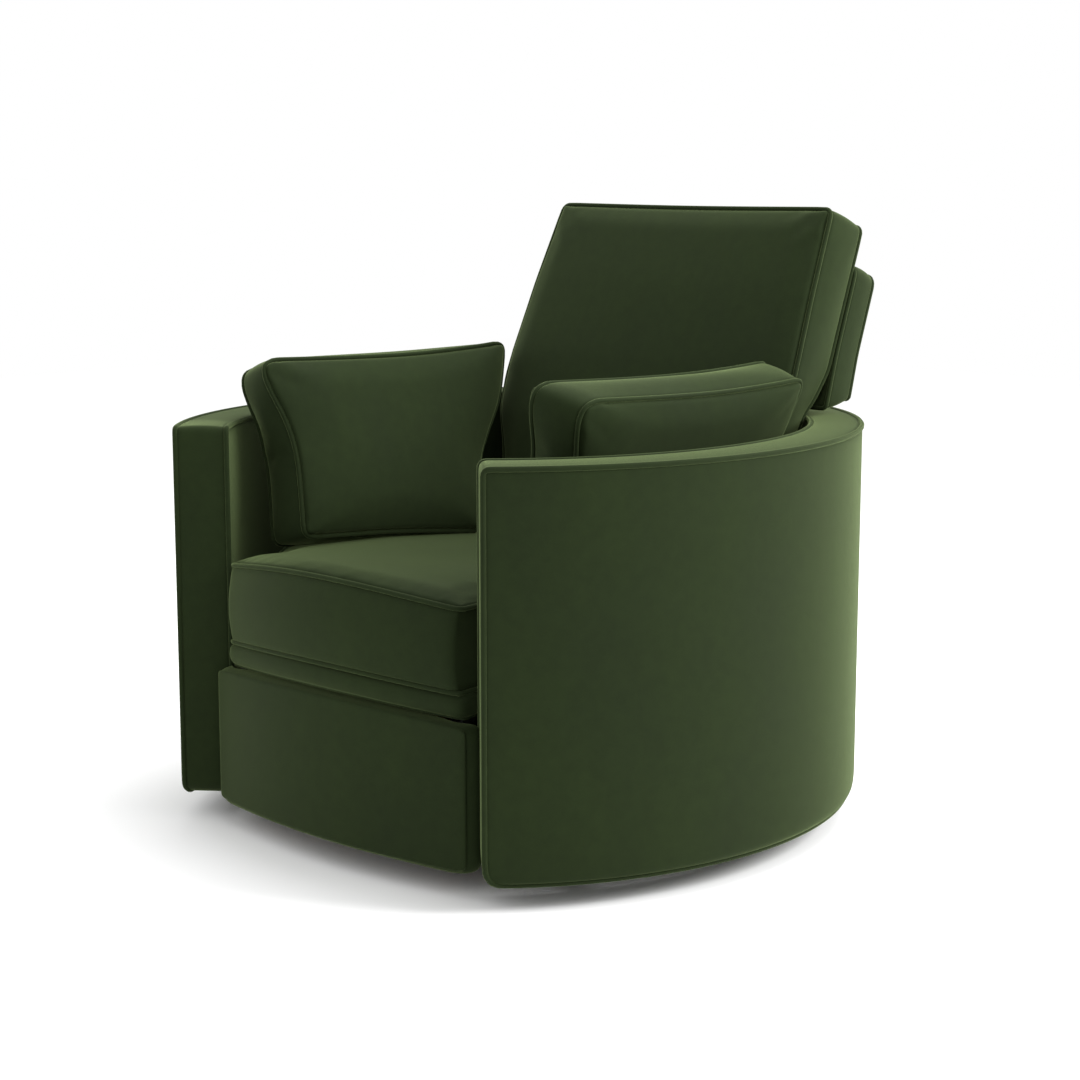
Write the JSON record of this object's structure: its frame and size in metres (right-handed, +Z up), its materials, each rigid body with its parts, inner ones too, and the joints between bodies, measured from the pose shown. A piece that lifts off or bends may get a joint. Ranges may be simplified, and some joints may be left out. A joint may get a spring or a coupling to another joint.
{
  "type": "swivel glider recliner chair",
  "caption": "Barrel swivel glider recliner for a nursery, in green velvet with piped seams, a footrest, a tilting back and loose arm pillows.",
  "frame": {"origin": "on the floor under the middle of the chair", "axes": "+X to the right arm as a viewer in front sees it, +Y towards the back, +Z up; the chair faces -Y"},
  "size_m": [1.05, 1.02, 0.9744],
  "materials": {
    "velvet": "dark green cotton-blend velvet with a short nap",
    "black_steel": "black powder coat",
    "zinc_steel": "zinc plated",
    "timber": "raw plywood and hardwood",
    "rubber": "moulded, matt"
  },
  "bodies": {
    "base": {"floor_pad_1": "rubber", "floor_pad_2": "rubber", "floor_pad_3": "rubber", "floor_pad_4": "rubber", "floor_ring": "black_steel", "base_cross": "black_steel", "swivel_race": "zinc_steel"},
    "turntable": {"turntable_plate": "black_steel", "carrier_rail_left": "black_steel", "carrier_rail_right": "black_steel", "hanger_post_front_left": "black_steel", "hanger_post_front_right": "black_steel", "hanger_post_rear_left": "black_steel", "hanger_post_rear_right": "black_steel"},
    "hanger_front_left": {"hanger_link_front_left": "zinc_steel"},
    "hanger_front_right": {"hanger_link_front_right": "zinc_steel"},
    "hanger_rear_left": {"hanger_link_rear_left": "zinc_steel"},
    "hanger_rear_right": {"hanger_link_rear_right": "zinc_steel"},
    "glide_frame": {"glide_rail_left": "black_steel", "glide_rail_right": "black_steel", "front_sill": "black_steel", "rear_sill": "black_steel", "side_plate_left": "timber", "side_plate_right": "timber", "slide_channel_left": "zinc_steel", "slide_channel_right": "zinc_steel", "barrel_wall_left": "velvet", "barrel_wall_rear": "velvet", "barrel_wall_right": "velvet", "inner_pad_left": "velvet", "inner_pad_rear": "velvet", "inner_pad_right": "velvet", "rim_left": "velvet", "rim_rear": "velvet", "rim_right": "velvet", "arm_front_left": "velvet", "arm_front_right": "velvet"},
    "seat_carriage": {"seat_side_plate_left": "black_steel", "seat_side_plate_right": "black_steel", "seat_front_rail": "timber", "seat_rear_rail": "timber", "seat_springs": "zinc_steel", "seat_deck_pad": "velvet", "seat_cushion": "velvet"},
    "back": {"back_bracket_left": "black_steel", "back_bracket_right": "black_steel", "back_board": "timber", "back_panel": "velvet", "back_cushion": "velvet"},
    "drive_links": {"drive_link_left": "black_steel", "drive_link_right": "black_steel", "torque_tube": "black_steel"},
    "front_links": {"front_link_left": "black_steel", "front_link_right": "black_steel"},
    "footrest": {"footrest_bracket_left": "black_steel", "footrest_bracket_right": "black_steel", "footrest_board": "timber", "footrest_pad": "velvet"},
    "left_pillow": {"pillow_left": "velvet"},
    "right_pillow": {"pillow_right": "velvet"}
  },
  "joints": [
    {"name": "swivel", "type": "hinge", "parent": "base", "child": "turntable", "pos_m": [0, 0, 0.0485], "axis": [0, 0, 1], "continuous": true},
    {"name": "glide_swing", "type": "hinge", "parent": "turntable", "child": "hanger_front_left", "pos_m": [-0.1955, -0.15, 0.2], "axis": [1, 0, 0], "range_deg": [-22, 22]},
    {"name": "glide_level", "type": "hinge", "parent": "hanger_front_left", "child": "glide_frame", "pos_m": [-0.1955, -0.15, 0.075], "axis": [1, 0, 0], "range_deg": [-22.1, 22.1]},
    {"name": "hanger_front_right_swing", "type": "hinge", "parent": "turntable", "child": "hanger_front_right", "pos_m": [0.1955, -0.15, 0.2], "axis": [1, 0, 0], "range_deg": [-22.1, 22.1]},
    {"name": "hanger_rear_left_swing", "type": "hinge", "parent": "turntable", "child": "hanger_rear_left", "pos_m": [-0.1955, 0.15, 0.2], "axis": [1, 0, 0], "range_deg": [-22.1, 22.1]},
    {"name": "hanger_rear_right_swing", "type": "hinge", "parent": "turntable", "child": "hanger_rear_right", "pos_m": [0.1955, 0.15, 0.2], "axis": [1, 0, 0], "range_deg": [-22.1, 22.1]},
    {"name": "recline_slide", "type": "slide", "parent": "glide_frame", "child": "seat_carriage", "axis": [0, -1, 0], "range_m": [0, 0.08]},
    {"name": "back_tilt", "type": "hinge", "parent": "seat_carriage", "child": "back", "pos_m": [0, 0.335, 0.335], "axis": [-1, 0, 0], "range_deg": [0, 10.1]},
    {"name": "drive_link_turn", "type": "hinge", "parent": "seat_carriage", "child": "drive_links", "pos_m": [0, -0.285, 0.238], "axis": [-1, 0, 0], "range_deg": [0, 107.2]},
    {"name": "front_link_knee", "type": "hinge", "parent": "drive_links", "child": "front_links", "pos_m": [0, -0.24178, 0.07669], "axis": [1, 0, 0], "range_deg": [0, 117.8]},
    {"name": "footrest_turn", "type": "hinge", "parent": "front_links", "child": "footrest", "pos_m": [0, -0.438, 0.202], "axis": [-1, 0, 0], "range_deg": [0, 88.8]},
    {"name": "left_pillow_lift", "type": "slide", "parent": "glide_frame", "child": "left_pillow", "axis": [0, 0, 1], "range_m": [0, 0.4]},
    {"name": "right_pillow_lift", "type": "slide", "parent": "glide_frame", "child": "right_pillow", "axis": [0, 0, 1], "range_m": [0, 0.4]}
  ],
  "couplings": [
    {"joint": "glide_level", "follows": "glide_swing", "ratio": -1},
    {"joint": "hanger_front_right_swing", "follows": "glide_swing", "ratio": 1},
    {"joint": "hanger_rear_left_swing", "follows": "glide_swing", "ratio": 1},
    {"joint": "hanger_rear_right_swing", "follows": "glide_swing", "ratio": 1},
    {"joint": "back_tilt", "follows": "recline_slide", "rad_per_m": 2.1817},
    {"joint": "drive_link_turn", "follows": "recline_slide", "rad_per_m": 23.344},
    {"joint": "front_link_knee", "follows": "recline_slide", "rad_per_m": 25.648},
    {"joint": "footrest_turn", "follows": "recline_slide", "rad_per_m": 19.321}
  ]
}
